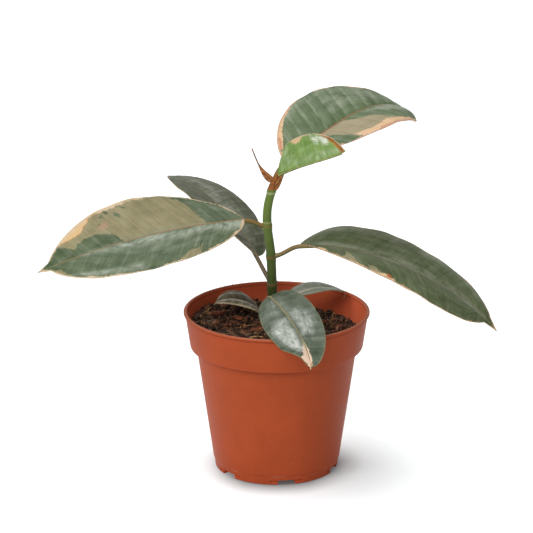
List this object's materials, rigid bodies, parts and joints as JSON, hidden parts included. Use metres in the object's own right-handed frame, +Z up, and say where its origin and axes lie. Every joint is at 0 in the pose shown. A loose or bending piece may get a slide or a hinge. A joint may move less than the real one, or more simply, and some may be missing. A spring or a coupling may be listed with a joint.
{
  "type": "potted rubber plant",
  "caption": "Young variegated rubber plant with broad waxy leaves on a slim green stem, standing in a round stepped nursery pot of terracotta-coloured plastic.",
  "frame": {"origin": "on the pot's axis, at the plane its foot stands on", "axes": "+Z up along the pot's axis, +X to the right of the front view along the widest spread of leaves, -Y towards the front"},
  "size_m": [0.2509, 0.1763, 0.2055],
  "materials": {
    "pot_plastic": "matte moulded terracotta-coloured polypropylene",
    "soil": "loose moist peat and bark mix",
    "stem_bark": "smooth green bark with pale scars",
    "leaf_variegated": "waxy leaf, green with beige and cream patches",
    "leaf_grey_green": "waxy dark grey-green leaf with a cream margin",
    "leaf_young": "soft light-green leaf",
    "stipule_dry": "dry papery brown sheath",
    "bark": "rough reddish bark",
    "straw": "dry straw"
  },
  "bodies": {
    "root": {"pot": "pot_plastic", "soil": "soil", "stem": "stem_bark", "leaf_left": "leaf_variegated", "leaf_top": "leaf_variegated", "leaf_right": "leaf_grey_green", "leaf_back_left": "leaf_grey_green", "leaf_low_front": "leaf_grey_green", "leaf_low_left": "leaf_grey_green", "leaf_low_right": "leaf_grey_green", "leaf_young": "leaf_young", "stipule_left": "stipule_dry", "stipule_right": "stipule_dry", "bark_chip_1": "bark", "bark_chip_2": "bark", "bark_chip_3": "bark", "bark_chip_4": "bark", "bark_chip_5": "bark", "bark_chip_6": "bark", "bark_chip_7": "bark", "bark_chip_8": "bark", "bark_chip_9": "bark", "straw_1": "straw", "straw_2": "straw", "straw_3": "straw"}
  },
  "joints": []
}
